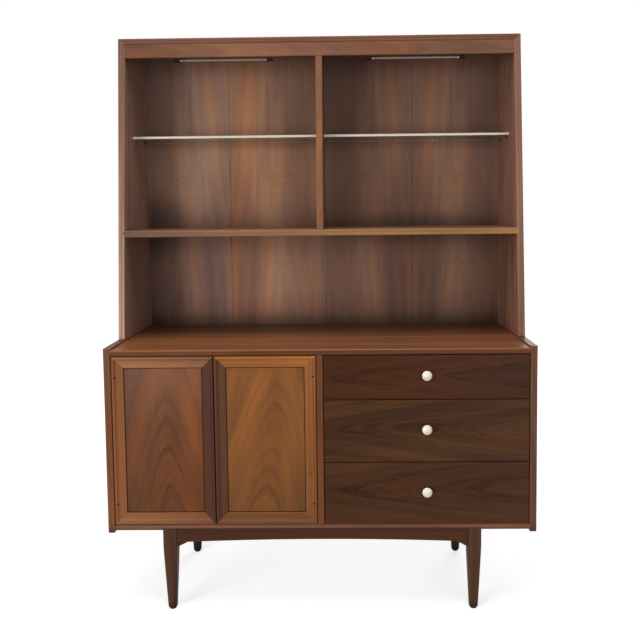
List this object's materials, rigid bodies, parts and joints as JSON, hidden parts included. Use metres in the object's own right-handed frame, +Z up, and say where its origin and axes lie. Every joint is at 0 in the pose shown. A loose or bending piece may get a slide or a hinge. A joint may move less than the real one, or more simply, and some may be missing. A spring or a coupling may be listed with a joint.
{
  "type": "china cabinet",
  "caption": "China cabinet: an open hutch with sloping sides, glass shelves and slim lamps on a low cupboard and drawer base with framed doors, round knobs and tapered legs.",
  "frame": {"origin": "on the floor, under the middle of the cabinet's overall box", "axes": "+X to the right as seen from the front, +Y towards the wall, +Z up"},
  "size_m": [1.372, 0.505, 1.886],
  "materials": {
    "case_walnut": "satin lacquer",
    "board_walnut": "satin lacquer",
    "back_veneer": "satin lacquer",
    "leg_walnut": "satin lacquer",
    "door_frame_walnut": "satin lacquer",
    "dark_stile_walnut": "satin lacquer",
    "door_panel_veneer": "satin lacquer",
    "drawer_front_veneer": "satin lacquer",
    "drawer_wood": "oiled",
    "plug_wood": "satin lacquer",
    "knob_ceramic": "glossy",
    "fitting_brass": "satin",
    "screw_steel": "satin",
    "shelf_glass": "polished",
    "lamp_glass": "frosted",
    "lamp_metal": "semi-gloss enamel",
    "dark_plastic": "satin"
  },
  "bodies": {
    "case": {"base_side_left": "case_walnut", "base_side_right": "case_walnut", "base_upright": "case_walnut", "cupboard_shelf": "case_walnut", "hutch_side_left": "case_walnut", "hutch_side_right": "case_walnut", "hutch_top": "case_walnut", "hutch_valance": "case_walnut", "hutch_shelf": "case_walnut", "hutch_divider": "case_walnut", "base_top": "board_walnut", "base_bottom": "board_walnut", "base_back": "back_veneer", "hutch_back": "back_veneer", "leg_front_left": "leg_walnut", "leg_front_right": "leg_walnut", "leg_back_left": "leg_walnut", "leg_back_right": "leg_walnut", "apron_front": "leg_walnut", "apron_back": "leg_walnut", "apron_sides": "leg_walnut", "drawer_runners": "drawer_wood", "shelf_pins": "fitting_brass", "hinge_plates": "fitting_brass", "case_screws": "screw_steel", "joining_plates": "screw_steel", "glass_shelf_left": "shelf_glass", "glass_shelf_right": "shelf_glass", "lamp_tubes": "lamp_glass", "lamp_housings": "lamp_metal", "lamp_sockets": "dark_plastic", "door_catches": "dark_plastic", "glides": "dark_plastic"},
    "door_left": {"door_left_hinge_stile": "door_frame_walnut", "door_left_meeting_stile": "dark_stile_walnut", "door_left_rails": "door_frame_walnut", "door_left_panel": "door_panel_veneer", "door_left_fittings": "fitting_brass", "door_left_plugs": "plug_wood"},
    "door_right": {"door_right_hinge_stile": "door_frame_walnut", "door_right_meeting_stile": "dark_stile_walnut", "door_right_rails": "door_frame_walnut", "door_right_panel": "door_panel_veneer", "door_right_fittings": "fitting_brass", "door_right_plugs": "plug_wood"},
    "drawer_top": {"drawer_top_front": "drawer_front_veneer", "drawer_top_box": "drawer_wood", "drawer_top_bottom": "drawer_wood", "drawer_top_knob": "knob_ceramic", "drawer_top_knob_screw": "screw_steel"},
    "drawer_middle": {"drawer_middle_front": "drawer_front_veneer", "drawer_middle_box": "drawer_wood", "drawer_middle_bottom": "drawer_wood", "drawer_middle_knob": "knob_ceramic", "drawer_middle_knob_screw": "screw_steel"},
    "drawer_bottom": {"drawer_bottom_front": "drawer_front_veneer", "drawer_bottom_box": "drawer_wood", "drawer_bottom_bottom": "drawer_wood", "drawer_bottom_knob": "knob_ceramic", "drawer_bottom_knob_screw": "screw_steel"}
  },
  "joints": [
    {"name": "door_left_hinge", "type": "hinge", "parent": "case", "child": "door_left", "pos_m": [-0.6495, -0.2195, 0.5645], "axis": [0, 0, -1], "range_deg": [0, 90]},
    {"name": "door_right_hinge", "type": "hinge", "parent": "case", "child": "door_right", "pos_m": [-0.0245, -0.2195, 0.5645], "axis": [0, 0, 1], "range_deg": [0, 90]},
    {"name": "drawer_top_slide", "type": "slide", "parent": "case", "child": "drawer_top", "axis": [0, -1, 0], "range_m": [0, 0.3]},
    {"name": "drawer_middle_slide", "type": "slide", "parent": "case", "child": "drawer_middle", "axis": [0, -1, 0], "range_m": [0, 0.3]},
    {"name": "drawer_bottom_slide", "type": "slide", "parent": "case", "child": "drawer_bottom", "axis": [0, -1, 0], "range_m": [0, 0.3]}
  ]
}
